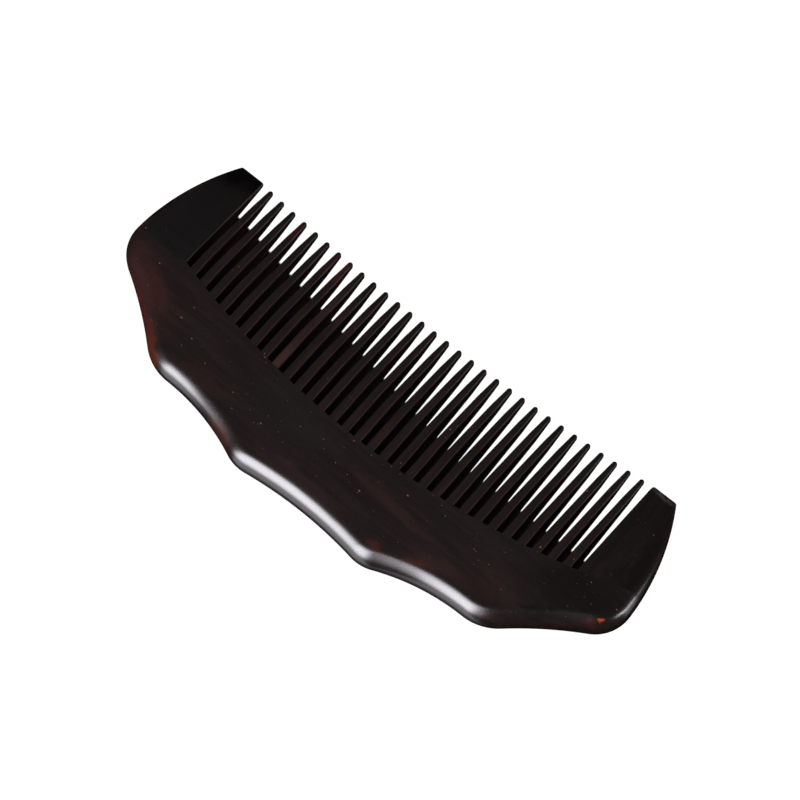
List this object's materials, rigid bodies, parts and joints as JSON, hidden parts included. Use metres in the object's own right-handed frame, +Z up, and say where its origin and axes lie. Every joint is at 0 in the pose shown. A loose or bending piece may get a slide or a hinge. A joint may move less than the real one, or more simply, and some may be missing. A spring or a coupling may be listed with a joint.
{
  "type": "beard comb",
  "caption": "Flat wooden beard comb with a scalloped, rounded spine, a row of fine tapered teeth and a wide guard tooth at each end.",
  "frame": {"origin": "centre of the comb's bounding rectangle on the face that it lies on", "axes": "+X along the comb, +Y from the scalloped back towards the tooth tips, +Z up out of the surface it lies on"},
  "size_m": [0.119, 0.0463, 0.0071],
  "materials": {
    "spine_wood": "dark red-brown hardwood, oiled and polished, grain along the comb",
    "guard_wood": "near-black hardwood, oiled and polished, grain along the teeth",
    "tooth_wood": "near-black to red-brown hardwood, oiled and polished, grain along each tooth"
  },
  "bodies": {
    "root": {"spine_board": "spine_wood", "guard_left": "guard_wood", "guard_right": "guard_wood", "tooth_01": "tooth_wood", "tooth_02": "tooth_wood", "tooth_03": "tooth_wood", "tooth_04": "tooth_wood", "tooth_05": "tooth_wood", "tooth_06": "tooth_wood", "tooth_07": "tooth_wood", "tooth_08": "tooth_wood", "tooth_09": "tooth_wood", "tooth_10": "tooth_wood", "tooth_11": "tooth_wood", "tooth_12": "tooth_wood", "tooth_13": "tooth_wood", "tooth_14": "tooth_wood", "tooth_15": "tooth_wood", "tooth_16": "tooth_wood", "tooth_17": "tooth_wood", "tooth_18": "tooth_wood", "tooth_19": "tooth_wood", "tooth_20": "tooth_wood", "tooth_21": "tooth_wood", "tooth_22": "tooth_wood", "tooth_23": "tooth_wood", "tooth_24": "tooth_wood", "tooth_25": "tooth_wood", "tooth_26": "tooth_wood", "tooth_27": "tooth_wood", "tooth_28": "tooth_wood", "tooth_29": "tooth_wood", "tooth_30": "tooth_wood", "tooth_31": "tooth_wood"}
  },
  "joints": []
}
